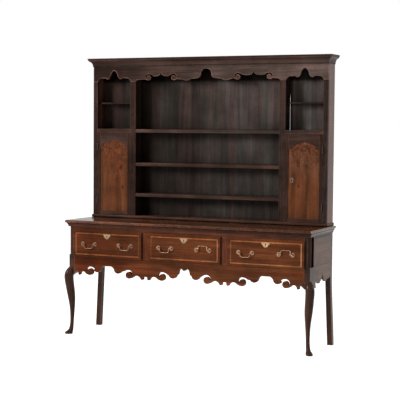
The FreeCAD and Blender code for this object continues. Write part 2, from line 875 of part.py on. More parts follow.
def make_drawer_box(name, x):
    """Two sides, a back and a bottom; the bottom runs in grooves and under the back."""
    low, high = f"{x} - (box_half)", f"{x} + (box_half)"
    floor = ("drawer_low + bottom_lift", "drawer_low + bottom_lift + bottom_thick")
    bottom = block(
        f"{name}_bottom", (f"{low} + drawer_side - bottom_groove", f"{high} - drawer_side + bottom_groove"),
        ("inside - bottom_groove", "drawer_end"), floor,
    )
    length = ("inside - front_lap", "drawer_end")
    tall = ("drawer_low", "drawer_high")
    blanks = [
        block(f"{name}_side_left", (low, f"{low} + drawer_side"), length, tall),
        block(f"{name}_side_right", (f"{high} - drawer_side", high), length, tall),
    ]
    sides = [cut(blank.Name + "_grooved", blank, bottom) for blank in blanks]
    back = block(
        f"{name}_back", (f"{low} + drawer_side", f"{high} - drawer_side"),
        ("drawer_end - drawer_side", "drawer_end"),
        ("drawer_low + bottom_lift + bottom_thick", "drawer_high - back_drop"),
    )
    node(f"{name}_box", group(f"{name}_box", *sides, back, bottom))
    return blanks + [bottom]


def make_handle_posts(name, spots):
    """For each post a rose, a neck, a bored ball for the bail, a shank through the wood and a nut."""
    pieces = []
    holes = []
    for index, spot in enumerate(spots):
        tag = f"{name}_post_{index}"
        height = "handle_height"
        rose = rod(f"{tag}_rose", "y", "rose_radius", (spot, "face - rose_thick", height), "rose_thick")
        neck = rod(f"{tag}_neck", "y", "neck_radius", (spot, "pivot", height), "pivot_reach")
        head = ball(f"{tag}_ball", "ball_radius", (spot, "pivot", height))
        shank = rod(
            f"{tag}_shank", "y", "shank_radius", (spot, "face", height), "inside + nut_thick - (face)",
        )
        bore = rod(
            f"{tag}_bore", "x", "bail_radius + pin_gap", (f"{spot} - ball_radius", "pivot", height),
            "2 * ball_radius",
        )
        pieces.append(cut(f"{tag}_turned", fuse(f"{tag}_blank", rose, neck, head, shank), bore))
        nut = block(
            f"{tag}_nut", (f"{spot} - nut_size / 2", f"{spot} + nut_size / 2"),
            ("inside", "inside + nut_thick"),
            (f"{height} - nut_size / 2", f"{height} + nut_size / 2"),
        )
        hole = rod(
            f"{tag}_hole", "y", "shank_radius + shank_gap", (spot, "face", height),
            "inside + nut_thick - (face)",
        )
        pieces.append(cut(f"{tag}_bored_nut", nut, hole))
        holes.append(hole)
    node(f"{name}_handle_posts", group(f"{name}_handle_posts", *pieces))
    return holes


def bail_path():
    """Half of a swan-neck bail from its pin, hanging in the XZ plane, then its mirror image."""
    turn = math.radians(number("neck_turn"))
    drop, tight, spacing = number("bail_drop"), number("bail_neck"), number("post_spacing")
    wide = drop / (1 - math.cos(turn)) - tight
    start = (-spacing / 2 - number("ball_radius"), 0)
    bend = (-spacing / 2 + number("ball_radius") + number("bail_rest_gap"), 0)

    def first(angle):
        return bend[0] + tight * math.sin(angle), -tight * (1 - math.cos(angle))

    foot = (first(turn)[0] + wide * math.sin(turn), -drop)

    def second(angle):
        return foot[0] - wide * math.sin(angle), -drop + wide * (1 - math.cos(angle))

    half = [start, None, bend, first(turn / 2), first(turn), second(turn / 2), foot]
    return half + [None] + mirrored(half)


def make_bail(name, x, raised):
    """A round bar bent to the swan-neck path and hung, or turned up to lean on the drawer."""
    lean = math.degrees(
        math.asin(number("pivot_reach - bail_radius - bail_rest_gap") / number("bail_drop")),
    )
    path = [edge.toShape() for edge in edges(bail_path())]
    spine = Part.Wire(path)
    start = spine.OrderedVertexes[0].Point
    ring = Part.Wire(Part.makeCircle(number("bail_radius"), start, FreeCAD.Vector(1, 0, 0)))
    bar = spine.makePipeShell([ring], True, False)
    upright = FreeCAD.Rotation(FreeCAD.Vector(1, 0, 0), 90)
    bail = doc.addObject("Part::Feature", name)
    bail.Shape = bar
    swing = FreeCAD.Rotation(FreeCAD.Vector(1, 0, 0), -(180 + lean) if raised else 0)
    bail.Placement = FreeCAD.Placement(FreeCAD.Vector(), swing * upright)
    place(bail, (x, "pivot", "handle_height"))
    node(name, bail)


def make_drawer(label, slot):
    """A lipped front, its box, lock, plate, handle posts and two bails."""
    name = f"drawer_{label}"
    x = f"({slot} * pitch)"
    key_height = "plate_top - plate_height * 0.35"
    slab = block(
        f"{name}_slab", (f"{x} - bay / 2 - drawer_lip", f"{x} + bay / 2 + drawer_lip"),
        ("face", "front - lip_gap"),
        ("opening_low - drawer_lip", "opening_high + drawer_lip"),
    )
    core = block(
        f"{name}_core", (f"{x} - box_half", f"{x} + box_half"), ("front - lip_gap", "inside"),
        ("drawer_low", "drawer_high"),
    )
    key = keyhole(name, x, key_height, "face - plate_thick", "inside - face + plate_thick")
    spots = []
    for side in (LEFT, RIGHT):
        for end in (LEFT, RIGHT):
            spots.append(f"{x} + {side} * handle_spread / 2 + {end} * post_spacing / 2")
    holes = make_handle_posts(name, spots)
    boards = make_drawer_box(name, x)
    node(f"{name}_front", cut(f"{name}_front", fuse(f"{name}_blank", slab, core), key, *holes, *boards))
    make_escutcheon(name, x, key)
    lock = block(
        f"{name}_lock", (f"{x} - lock_width / 2", f"{x} + lock_width / 2"),
        ("inside", "inside + lock_thick"),
        ("drawer_high - lock_height", "drawer_high"),
    )
    node(f"{name}_lock", lock)
    for hand, side in SIDES.items():
        make_bail(f"{name}_bail_{hand}", f"{x} + {side} * handle_spread / 2", f"{label}_{hand}" in RAISED)


# Rack

def make_shelf(name, top):
    """A long shelf between the dividers, housed in both, its front nosed between the stiles."""
    tall = (f"{top} - shelf_thick", top)
    body = block(
        f"{name}_board", ("-(divider_in) - housing", "divider_in + housing"), ("stile_back", "plank_front"),
        tall,
    )
    lip = block(
        f"{name}_lip", ("-(bay_half)", "bay_half"), ("rack_front + shelf_setback", "stile_back"), tall,
    )
    nose = rounded(f"{name}_nose", lip, front_nosed, "shelf_nose")
    return fuse(name, body, nose)


def make_cupboard_top(label, side):
    """The floor of a niche and the top of the cupboard below it."""
    tall = ("cupboard_top - cupboard_board", "cupboard_top")
    body = block(
        f"cupboard_board_{label}", sided(side, "divider_out - housing", "side_in + housing"),
        ("stile_back", "plank_front"), tall,
    )
    lip = block(
        f"cupboard_lip_{label}", sided(side, "niche_in", "niche_out"), ("rack_front", "stile_back"), tall,
    )
    return fuse(f"cupboard_top_{label}", body, lip)


def make_niche_shelf(label, side):
    """A thin shelf with a waved front edge."""
    inner, outer, aft = number("divider_out - housing"), number("side_in + housing"), number("plank_front")
    fore = number("stile_back + niche_setback")
    wave = number("niche_setback") / 2
    middle = (inner + outer) / 2
    quarter = (outer - inner) / 4
    path = [
        (inner, fore), (middle - quarter, fore - wave), (middle, fore), (middle + quarter, fore - wave),
        (outer, fore), None, (outer, aft), None, (inner, aft), None, (inner, fore),
    ]
    placed = [spot and (side * spot[0], spot[1]) for spot in path]
    return board(f"niche_shelf_{label}", "XY", placed, "niche_shelf - niche_board", "niche_board")


def make_rack_shelves():
    """Every board that is housed in the rack's uprights, by the uprights that hold it."""
    levels = {"upper": "upper_shelf", "middle": "middle_shelf", "lower": "lower_shelf"}
    long_shelves = [make_shelf(f"long_shelf_{label}", top) for label, top in levels.items()]
    tops = {label: make_cupboard_top(label, side) for label, side in SIDES.items()}
    shelves = {label: make_niche_shelf(label, side) for label, side in SIDES.items()}
    node("long_shelves", group("long_shelves", *long_shelves))
    node("cupboard_tops", group("cupboard_tops", *tops.values()))
    node("niche_shelves", group("niche_shelves", *shelves.values()))
    dividers = []
    for label, side in SIDES.items():
        held = [tops[label], shelves[label]]
        tall = ("plinth_top", "frame_top")
        side_blank = block(
            f"side_blank_{label}", sided(side, "side_in", "rack_half"), ("stile_back", "back"), tall,
        )
        rebate = block(
            f"plank_rebate_{label}", sided(side, "side_in - 1", "side_in + plank_rebate"),
            ("plank_front", "back + 1"), tall,
        )
        node(f"rack_side_{label}", cut(f"rack_side_{label}", side_blank, rebate, *held))
        upright = block(
            f"divider_blank_{label}", sided(side, "divider_in", "divider_out"),
            ("stile_back", "plank_front"), tall,
        )
        dividers.append(cut(f"rack_divider_{label}", upright, *held, *long_shelves))
    node("rack_dividers", group("rack_dividers", *dividers))


def fluted_stile(name, x, width, flutes):
    """A face stile up to the frieze, with shallow flutes down its front."""
    low, high = "plinth_top", "frieze_low"
    blank = block(
        f"{name}_blank", (f"{x} - {width} / 2", f"{x} + {width} / 2"), ("rack_front", "stile_back"),
        (low, high),
    )
    grooves = []
    for index in range(flutes):
        share = (index + 1) / (flutes + 1) - 0.5
        spot = f"{x} + {width} * {share:.4f}"
        grooves.append(rod(
            f"{name}_flute_{index}", "z", "flute_radius",
            (spot, "rack_front - flute_radius + flute_depth", low),
            f"{high} - ({low})",
        ))
    return cut(name, blank, *grooves)


def make_stiles():
    stiles = []
    for label, side in SIDES.items():
        stiles.append(
            fluted_stile(f"divider_stile_{label}", at(side, "divider_centre"), "divider_stile", 3),
        )
        stiles.append(
            fluted_stile(f"outer_stile_{label}", at(side, "rack_half - outer_stile / 2"), "outer_stile", 2),
        )
    node("rack_stiles", group("rack_stiles", *stiles))


def frieze_half(side):
    """The frieze's fretted edge from the middle of the rack to one end, drawn to the right."""
    rise, radius, length = number("frieze_rise"), number("frieze_scroll"), number("bay_half")
    centre = (FRIEZE_SCROLL_AT[side] * length, FRIEZE_SCROLL_UP * rise)
    peak = FRIEZE_CUSP_AT[side] * length
    inward = scroll(centre, radius, 1) + moved(stretched(FRIEZE_CUSP, length, rise), peak, 0)
    outward = moved(mirrored(moved(inward, -peak, 0)), peak, 0)
    centre_bay = (
        stretched(FRIEZE_BELL, length, rise) + [None] + inward + outward[1:]
        + stretched(FRIEZE_END, length, rise)
    )
    arch = stretched(NICHE_ARCH, number("niche_half"), rise)
    niche = moved(mirrored(arch) + arch[1:], number("niche_mid"), 0)
    return centre_bay + [None] + niche + [None, (number("rack_half"), 0)]


def make_frieze():
    edge = moved(mirrored(frieze_half(LEFT)) + frieze_half(RIGHT)[1:], 0, number("frieze_low"))
    wide, top = number("rack_half"), number("frame_top")
    path = edge + [None, (wide, top), None, (-wide, top), None, edge[0]]
    node("frieze", board("frieze", "XZ", path, "rack_front", "stile_thick"))


def make_back_boards():
    """Upright planks of uneven width between the rebates of the sides.

    Beside the right divider one joint has shrunk open, behind the divider and past it, up to the niche.
    """
    low = "-(side_in) - plank_rebate"
    span = "2 * ((side_in) + plank_rebate)"
    shares = (0,) + PLANK_JOINTS + (1,)
    planks = []
    for index, (start, end) in enumerate(zip(shares, shares[1:])):
        begin = f"{low} + {start} * {span}" + (" + plank_gap / 2" if start > 0 else "")
        finish = f"{low} + {end} * {span}" + (" - plank_gap / 2" if end < 1 else "")
        planks.append(
            block(f"plank_{index}", (begin, finish), ("plank_front", "back"), ("plinth_top", "frame_top")),
        )
    low, bend, high = (number(word) for word in ("plinth_top", "niche_shelf + gap_lift", "frame_top"))
    hidden, open_edge = number("divider_out - gap_behind"), number("divider_out + wide_gap")
    closed = hidden + number("plank_gap")
    path = straight((hidden, low), (open_edge, low), (open_edge, bend), (closed, high), (hidden, high))
    shrunk = board("shrunk_joint", "XZ", path, "plank_front - 1", "plank_thick + 2")
    split = cut("split_planks", group("planks", *planks), shrunk)
    node("back_boards", split)


def make_rack():
    slab = block(
        "plinth_slab", ("-(rack_half) - plinth_out", "rack_half + plinth_out"),
        ("rack_front - plinth_nose", "back"),
        ("board_top", "plinth_top"),
    )
    node("rack_plinth", rounded("rack_plinth", slab, nosed, "plinth_nose"))
    make_rack_shelves()
    make_stiles()
    make_frieze()
    make_cornice()
    make_back_boards()
    top = block(
        "rack_top_board", ("-(rack_half)", "rack_half"), ("rack_front", "back"),
        ("frame_top", "frame_top + top_thick"),
    )
    node("rack_top_board", top)


# Doors

def arch_path(grow):
    """Right half of the door's arched head, from the shoulder to the point, grown by a margin."""
    half, spread, shoulder, rise = (
        number(word) for word in ("sight_half", "arch_half", "door_shoulder", "door_arch")
    )
    return [
        (half + grow, shoulder + grow), None, (spread + grow, shoulder + grow), None,
        (spread + grow, shoulder + 0.25 * rise + grow), (0.55 * spread, shoulder + 0.62 * rise + grow),
        (0.24 * spread, shoulder + 0.74 * rise + grow), (0.1 * spread, shoulder + 0.82 * rise + grow),
        (0, shoulder + rise + grow),
    ]


def make_door(label, side, key=None):
    """A framed door with an arched top rail and a flat panel held in grooves.

    A key, where the door has one, is the keyhole through the panel.
    """
    name = f"door_{label}"
    middle = side * number("door_mid")
    groove = number("door_groove")
    depth = ("rack_front", "rack_front + door_thick")
    head = arch_path(groove)
    low = number("door_sill") - groove
    half = head[0][0]
    outline = head + mirrored(head)[1:] + [None, (-half, low), None, (half, low), None, head[0]]
    panel = board(f"{name}_blank", "XZ", moved(outline, middle, 0), "panel_face", "door_panel")
    node(f"{name}_panel", cut(f"{name}_panel", panel, key) if key else panel)
    tenons = ("door_sill - door_foot + tenon_shoulder", "door_sill"), (
        "door_shoulder + door_groove", "door_high - tenon_shoulder",
    )
    bars = []
    for which, z in zip(("foot", "head"), tenons):
        reach = "sight_half + door_tenon"
        spot = at(side, "door_mid")
        bars.append(
            block(
                f"{name}_{which}_tenon", (f"{spot} - ({reach})", f"{spot} + {reach}"),
                ("panel_face", "panel_back"), z,
            ),
        )
    sight = arch_path(0)
    high = number("door_high")
    half = sight[0][0]
    rail_edge = sight + mirrored(sight)[1:] + [None, (-half, high), None, (half, high), None, sight[0]]
    head_rail = board(f"{name}_head", "XZ", moved(rail_edge, middle, 0), "rack_front", "door_thick")
    foot_rail = block(
        f"{name}_foot", (f"{at(side, 'door_mid')} - (sight_half)", f"{at(side, 'door_mid')} + sight_half"),
        depth,
        ("door_low", "door_sill"),
    )
    rails = [
        cut(f"{name}_{which}_rail", fuse(f"{name}_{which}_blank", rail, bar), panel)
        for which, rail, bar in (("foot", foot_rail, bars[0]), ("head", head_rail, bars[1]))
    ]
    node(f"{name}_rails", group(f"{name}_rails", *rails))
    stiles = [
        cut(
            f"{name}_{which}_stile",
            block(f"{name}_{which}_bar", sided(side, *x), depth, ("door_low", "door_high")), panel, *bars,
        )
        for which, x in (
            ("hanging", ("door_out - door_stile", "door_out")),
            ("meeting", ("door_in", "door_in + door_stile")),
        )
    ]
    node(f"{name}_stiles", group(f"{name}_stiles", *stiles))


def knuckle_span(index):
    """Where one of a hinge's three knuckles starts and ends above the hinge's foot."""
    return (
        f"hinge_height * {index} / 3 + knuckle_gap / 2",
        f"hinge_height * {index + 1} / 3 - knuckle_gap / 2",
    )


def hinge_leaf(name, side, foot, x, knuckles):
    """A leaf in the gap beside the door, with the knuckles that it carries."""
    plate = block(
        f"{name}_plate", sided(side, *x), ("rack_front", "rack_front + leaf_depth"),
        (foot, f"{foot} + hinge_height"),
    )
    pieces = [plate]
    for index in knuckles:
        start, end = knuckle_span(index)
        pieces.append(
            block(
                f"{name}_web_{index}", sided(side, *x), ("hinge_y", "rack_front"),
                (f"{foot} + {start}", f"{foot} + {end}"),
            ),
        )
        pieces.append(rod(
            f"{name}_knuckle_{index}", "z", "knuckle_radius",
            (at(side, "hinge_x"), "hinge_y", f"{foot} + {start}"), f"{end} - ({start})",
        ))
    return pieces


def make_hinges():
    """Butt hinges: the leaf on the stile holds the pin, and the door's leaf turns on it."""
    fixed = []
    for label, side in SIDES.items():
        turning = []
        for which, foot in (
            ("low", "(door_low + hinge_inset)"), ("high", "(door_high - hinge_inset - hinge_height)"),
        ):
            tag = f"{label}_{which}"
            axis = (at(side, "hinge_x"), "hinge_y", foot)
            stile_leaf = hinge_leaf(
                f"stile_leaf_{tag}", side, foot, ("niche_out - leaf_thick", "niche_out"), (0, 2),
            )
            pin = rod(f"hinge_pin_{tag}", "z", "hinge_pin", axis, "hinge_height")
            fixed.append(fuse(f"stile_leaf_{tag}", *stile_leaf, pin))
            door_leaf = hinge_leaf(
                f"door_leaf_{tag}", side, foot, ("door_out", "door_out + leaf_thick"), (1,),
            )
            bore = rod(f"hinge_bore_{tag}", "z", "hinge_pin + hinge_play", axis, "hinge_height")
            turning.append(cut(f"door_leaf_{tag}", fuse(f"door_leaf_blank_{tag}", *door_leaf), bore))
        node(f"door_{label}_hinge_leaves", group(f"door_{label}_hinge_leaves", *turning))
    node("fixed_hinge_leaves", group("fixed_hinge_leaves", *fixed))


def make_door_lock():
    """The right door's plate over its keyhole, and the lock behind it; returns the keyhole."""
    spot = "(door_in + keyhole_inset)"
    key = keyhole(
        "door_right", spot, "keyhole_height", "panel_face - plate_thick", "door_panel + plate_thick",
    )
    oval = rod(
        "oval_blank", "y", "oval_height / 2", (spot, "panel_face - plate_thick", "keyhole_height"),
        "plate_thick",
    )
    sides = block(
        "oval_sides", (f"{spot} - oval_width / 2", f"{spot} + oval_width / 2"),
        ("panel_face - plate_thick", "panel_face"),
        ("keyhole_height - oval_height / 2", "keyhole_height + oval_height / 2"),
    )
    plate = common("oval_plate", oval, sides)
    node("door_right_escutcheon", cut("door_right_escutcheon", plate, key))
    lock = block(
        "door_right_lock", (f"{spot} - door_lock_width / 2", f"{spot} + door_lock_width / 2"),
        ("panel_back", "panel_back + door_lock_thick"),
        ("keyhole_height - door_lock_height / 2", "keyhole_height + door_lock_height / 2"),
    )
    node("door_right_lock", lock)
    return key


make_base()
for bay_label, bay_slot in BAYS.items():
    make_drawer(bay_label, bay_slot)
make_rack()
make_door("left", LEFT)
make_door("right", RIGHT, make_door_lock())
make_hinges()
doc.recompute()

for item in doc.Objects:
    if {"Invalid", "Error"} & set(item.State):
        raise RuntimeError(f"{item.Name} failed: {item.State}")
for label, piece in nodes.items():
    if piece.Shape.isNull() or not piece.Shape.isValid() or not piece.Shape.Solids:
        raise RuntimeError(f"{label} has no valid solid")

os.makedirs("parts", exist_ok=True)
for label, piece in nodes.items():
    piece.Shape.exportStep(f"parts/{label}.step")
print(len(nodes), "pieces written")
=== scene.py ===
import math

import bmesh
import bpy
from mathutils import Matrix, Vector


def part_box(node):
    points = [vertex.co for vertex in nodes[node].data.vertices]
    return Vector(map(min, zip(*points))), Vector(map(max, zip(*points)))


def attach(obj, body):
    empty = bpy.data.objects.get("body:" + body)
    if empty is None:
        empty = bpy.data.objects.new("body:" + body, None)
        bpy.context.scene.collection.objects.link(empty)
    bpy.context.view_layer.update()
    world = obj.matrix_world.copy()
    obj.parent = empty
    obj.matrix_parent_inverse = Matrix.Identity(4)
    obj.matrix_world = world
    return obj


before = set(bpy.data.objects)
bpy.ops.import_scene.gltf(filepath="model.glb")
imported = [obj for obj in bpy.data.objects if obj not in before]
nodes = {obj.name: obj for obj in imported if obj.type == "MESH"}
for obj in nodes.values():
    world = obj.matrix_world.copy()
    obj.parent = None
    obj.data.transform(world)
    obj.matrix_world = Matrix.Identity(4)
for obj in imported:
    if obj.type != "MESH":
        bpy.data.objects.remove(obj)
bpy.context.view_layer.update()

# The middle of each drawer, and the inlaid band on its front: all in metres
DRAWERS = {"left": -0.6133, "middle": 0.0, "right": 0.6133}
BAND_HALF_LENGTH = 0.2605
BAND_LOW, BAND_HIGH = 0.590, 0.750
BAND_WIDTH = 0.008
BAND_PROUD = 0.0002
BAND_DEPTH = 0.0018
FLOOR_HALF = 40.0

# Waves in a metre of oak: twice across the grain, then along it
DRIFT = (2.0, 2.0, 0.7)
PLANED = (9.0, 9.0, 3.0)
FIGURE = (16.0, 16.0, 1.1)
STAIN = (30.0, 30.0, 1.4)
STREAKS = (150.0, 150.0, 4.0)
PORES = (900.0, 900.0, 45.0)

# How far dirt and painted shade reach in metres: out of a corner of the oak or of a handle, from a keyhole's
# rim, from the tips and the foot of a shield, and where a painted shadow begins and is darkest along a
# drawer front's right edge
CORNER_REACH = 0.025
HANDLE_REACH = 0.012
RIM_REACH = 0.004
TIP_REACH = 0.011
FOOT_REACH = 0.016
EDGE_SHADOW_BEGINS, EDGE_SHADOW_DARKEST = 0.009, 0.003


class Look:
    """A procedural material being put together: its node tree, its shader and the place on the part."""

    def __init__(self, name):
        self.material = bpy.data.materials.new(name)
        self.material.use_nodes = True
        self.tree = self.material.node_tree
        self.shader = self.tree.nodes["Principled BSDF"]
        self.place = self.add("TexCoord", {}).outputs["Object"]

    def add(self, kind, inputs, **settings):
        node = self.tree.nodes.new("ShaderNode" + kind)
        for key, value in settings.items():
            setattr(node, key, value)
        for key, value in inputs.items():
            self.feed(node.inputs[key], value)
        return node

    def feed(self, socket, value):
        if isinstance(value, bpy.types.NodeSocket):
            self.tree.links.new(value, socket)
        elif hasattr(socket.default_value, "__len__") and len(socket.default_value) == 4:
            socket.default_value = (*value, 1.0)
        else:
            socket.default_value = value

    def calc(self, operation, first, second=0.0, third=0.0):
        node = self.add("Math", {0: first, 1: second, 2: third}, operation=operation)
        return node.outputs[0]

    def mix(self, factor, first, second, blend="MIX"):
        node = self.add("Mix", {0: factor, 6: first, 7: second}, data_type="RGBA", blend_type=blend)
        return node.outputs[2]

    def rise(self, value, low, high, start=0.0, end=1.0):
        """A smooth step of value from start, at low, to end, at high."""
        inputs = {"Value": value, "From Min": low, "From Max": high, "To Min": start, "To Max": end}
        return self.add("MapRange", inputs, interpolation_type="SMOOTHSTEP").outputs[0]

    def faded(self, colour, fades):
        """The colour times one tone after another: each goes from start, at low, to end, at high."""
        for axis, low, high, start, end in fades:
            tone = self.mix(self.rise(self.axis(axis), low, high), start, end)
            colour = self.mix(1.0, colour, tone, "MULTIPLY")
        return colour

    def noise(self, vector, scale, detail=2.0, rough=0.5, distortion=0.0):
        inputs = {"Vector": vector, "Scale": scale, "Detail": detail}
        inputs |= {"Roughness": rough, "Distortion": distortion}
        return self.add("TexNoise", inputs).outputs["Fac"]

    def times(self, vector, factors):
        return self.add("VectorMath", {0: vector, 1: factors}, operation="MULTIPLY").outputs[0]

    def axis(self, name):
        return self.add("SeparateXYZ", {0: self.place}).outputs[name]

    def facing(self, axis):
        """How far a face looks along an axis: from -1 to 1."""
        normal = self.add("NewGeometry", {}).outputs["True Normal"]
        return self.add("SeparateXYZ", {0: normal}).outputs[axis]

    def sideways(self):
        """1 on faces that look to the left or the right."""
        return self.calc("GREATER_THAN", self.calc("ABSOLUTE", self.facing("X")), 0.6)

    def edges(self, radius):
        """How far a rounding of the edges would turn the surface here: 0 on a flat face."""
        rounded = self.add("Bevel", {"Radius": radius}, samples=6).outputs[0]
        true = self.add("NewGeometry", {}).outputs["Normal"]
        same = self.add("VectorMath", {0: rounded, 1: true}, operation="DOT_PRODUCT").outputs["Value"]
        return self.calc("SUBTRACT", 1.0, same)

    def openness(self, reach):
        """1 in the open, falling to 0 in corners and cracks."""
        return self.add("AmbientOcclusion", {"Distance": reach}, samples=6).outputs["AO"]

    def bump(self, height, distance, strength, normal=None):
        inputs = {"Height": height, "Distance": distance, "Strength": strength}
        if normal is not None:
            inputs["Normal"] = normal
        return self.add("Bump", inputs).outputs[0]


def scaled(tone, *factors):
    """A tone with its channels multiplied by one factor, or by three."""
    if len(factors) == 1:
        factors *= 3
    return tuple(channel * factor for channel, factor in zip(tone, factors))


def along_grain(look, along, returns):
    """The place on the part with the grain's direction turned to Z."""
    x, y, z = (look.axis(name) for name in "XYZ")
    turned = {"X": (y, z, x), "Y": (z, x, y), "Z": (x, y, z)}
    place = look.add("CombineXYZ", dict(enumerate(turned[along]))).outputs[0]
    if not returns:
        return place
    side = look.add("CombineXYZ", dict(enumerate(turned["Y"]))).outputs[0]
    chosen = look.add("Mix", {0: look.sideways(), 4: place, 5: side}, data_type="VECTOR")
    return chosen.outputs[1]


def oak(
    name, tone, along="Z", contrast=0.5, wear=0.5, worn=(0.27, 0.14, 0.075), rim=0.006, rub=0.22,
    grime_and_shade=0.85, rough=0.2, shine=0.03, fine=0.6, hue=0.3, boards=None, fades=(), knots=(), burr=None,
    returns=False, side_colour_and_sheen=None, painted_shadow=None,
):
    """Old waxed oak: streaks and pores along the grain, broad figure, rubbed edges, dirt and painted shade
    in the corners.

    returns turns the grain on faces that look sideways, and ends colours them, with a painted grey sheen in
    that colour. soot is the height at which a painted shadow begins on front faces, and where it is darkest.
    burr is the same for the burr figure.
    """
    look = Look(name)
    place = along_grain(look, along, returns)
    drift = look.noise(look.times(place, DRIFT), 1.0, 2.0)
    wander = look.times(look.add("CombineXYZ", {0: drift, 1: drift}).outputs[0], (0.03, 0.03, 0.0))
    grain = look.add("VectorMath", {0: place, 1: wander}, operation="ADD").outputs[0]
    for x, z, radius in knots:
        near = look.rise(knot_distance(look, x, z, radius), 0.4, 3.5, 0.9 * radius, 0.0)
        push = look.add("CombineXYZ", {0: near, 1: near}).outputs[0]
        grain = look.add("VectorMath", {0: grain, 1: push}, operation="ADD").outputs[0]
    figure = look.noise(look.times(grain, FIGURE), 1.0, 3.0, 0.55, 0.8)
    streaks = look.noise(look.times(grain, STREAKS), 1.0, 4.0, 0.6)
    pores = look.rise(look.noise(look.times(grain, PORES), 1.0, 1.0), 0.56, 0.68)
    patches = look.noise(look.place, 5.0, 3.0, 0.55)

    dark = scaled(tone, 1.0 - 0.75 * contrast)
    light = scaled(tone, 1.0 + 1.1 * contrast)
    colour = look.mix(look.rise(figure, 0.28, 0.72), dark, light)
    colour = look.mix(look.rise(streaks, 0.3, 0.75, 0.0, fine), colour, scaled(tone, 0.45))
    colour = look.mix(look.calc("MULTIPLY", pores, 0.5), colour, scaled(tone, 0.25))
    stain = look.rise(look.noise(look.times(grain, STAIN), 1.0, 2.0), 0.35, 0.65)
    colour = look.mix(hue, colour, look.mix(stain, (0.78, 0.95, 0.9), (1.45, 1.05, 0.95)), "MULTIPLY")
    shade = look.rise(patches, 0.3, 0.75, 0.72, 1.25)
    grey = look.add("CombineXYZ", {0: shade, 1: shade, 2: shade}).outputs[0]
    colour = look.mix(1.0, colour, grey, "MULTIPLY")
    colour = look.faded(colour, fades)
    # Sideways faces take a colour of their own, with a painted grey sheen in it
    if side_colour_and_sheen is not None:
        colour = look.mix(look.sideways(), colour, side_colour_and_sheen)
    # A painted shadow on faces that look to the front, going black towards the top
    if painted_shadow is not None:
        front = look.calc("LESS_THAN", look.facing("Y"), -0.6)
        share = look.calc("MULTIPLY", front, look.rise(look.axis("Z"), *painted_shadow, 0.0, 0.88))
        colour = look.mix(share, colour, (0.0, 0.0, 0.0))
    if boards is not None:
        colour = look.mix(1.0, colour, board_tones(look, boards), "MULTIPLY")
    for x, z, radius in knots:
        colour = knotted(look, colour, tone, knot_distance(look, x, z, radius))
    if burr is not None:
        colour = burred(look, colour, tone, *burr)

    opened = look.openness(CORNER_REACH)
    uneven = look.rise(look.noise(look.place, 22.0, 3.0), 0.35, 0.62, 0.2, 1.0)
    rubbed = look.rise(look.edges(rim), 0.01, rub)
    rubbed = look.calc("MULTIPLY", rubbed, look.rise(opened, 0.5, 0.85))
    rubbed = look.calc("MULTIPLY", rubbed, uneven)
    rubbed = look.calc("MULTIPLY", rubbed, wear)
    # Painted shade and dirt: darker in corners, cracks and under things
    colour = look.mix(look.rise(opened, 0.2, 0.85, grime_and_shade, 0.0), colour, scaled(tone, 0.1))
    colour = look.mix(rubbed, colour, worn)

    look.feed(look.shader.inputs["Base Color"], colour)
    base = look.rise(patches, 0.3, 0.7, rough - 0.05, rough + 0.06)
    base = look.calc("MULTIPLY_ADD", pores, 0.1, base)
    look.feed(look.shader.inputs["Roughness"], look.calc("MULTIPLY_ADD", rubbed, -0.06, base))
    planed = look.bump(look.noise(look.times(place, PLANED), 1.0, 1.0), 0.0015, 0.2)
    fibres = look.calc("MULTIPLY_ADD", pores, -0.6, streaks)
    look.feed(look.shader.inputs["Normal"], look.bump(fibres, 0.0001, 0.3, planed))
    look.shader.inputs["Specular IOR Level"].default_value = shine
    return look.material


def knot_distance(look, x, z, radius):
    """How many of its radii a place lies from a knot, which is longer along the grain than across."""
    place = look.times(look.place, (1.0 / radius, 0.0, 0.6 / radius))
    heart = (x / radius, 0.0, 0.6 * z / radius)
    return look.add("VectorMath", {0: place, 1: heart}, operation="DISTANCE").outputs["Value"]


def knotted(look, colour, tone, distance):
    """Dark rings closing round a knot, and its darker heart."""
    uneven = look.calc("MULTIPLY_ADD", look.noise(look.place, 45.0, 3.0), 2.4, distance)
    rings = look.calc("SINE", look.calc("MULTIPLY", uneven, 7.0))
    rings = look.calc("MULTIPLY", look.rise(rings, -0.2, 1.0), look.rise(uneven, 1.4, 3.6, 0.75, 0.0))
    colour = look.mix(rings, colour, scaled(tone, 0.3))
    heart = look.rise(uneven, 1.3, 2.2, 0.9, 0.0)
    return look.mix(heart, colour, scaled(tone, 0.22, 0.26, 0.4))


def burred(look, colour, tone, low, high):
    """Curling figure and dark eyes in patches, thicker towards the top of a panel."""
    curls = look.noise(look.times(look.place, (42.0, 42.0, 26.0)), 1.0, 4.0, 0.62, 2.4)
    eyes = look.noise(look.times(look.place, (24.0, 24.0, 20.0)), 1.0, 3.0, 0.55, 1.2)
    share = look.rise(look.axis("Z"), low, high, 0.1, 0.95)
    pale = scaled(tone, 1.3, 1.3, 1.2)
    red = scaled(tone, 0.75, 0.5, 0.5)
    green = scaled(tone, 0.3, 0.42, 0.5)
    curled = look.mix(look.rise(curls, 0.38, 0.6), look.mix(0.6, colour, pale), red)
    curled = look.mix(look.rise(eyes, 0.52, 0.66, 0.0, 0.85), curled, green)
    return look.mix(share, colour, curled)


def board_tones(look, boards):
    """A tone for each board in turn across the width: (where it begins, red, green, blue)."""
    low, high = boards[0][0], boards[-1][0] + 0.2
    across = look.add("MapRange", {"Value": look.axis("X"), "From Min": low, "From Max": high}).outputs[0]
    ramp = look.add("ValToRGB", {0: across})
    ramp.color_ramp.interpolation = "CONSTANT"
    stops = ramp.color_ramp.elements
    for index, (begin, *tone) in enumerate(boards):
        share = (begin - low) / (high - low)
        stop = stops[index] if index < 2 else stops.new(share)
        stop.position = share
        stop.color = (*tone, 1.0)
    return ramp.outputs[0]


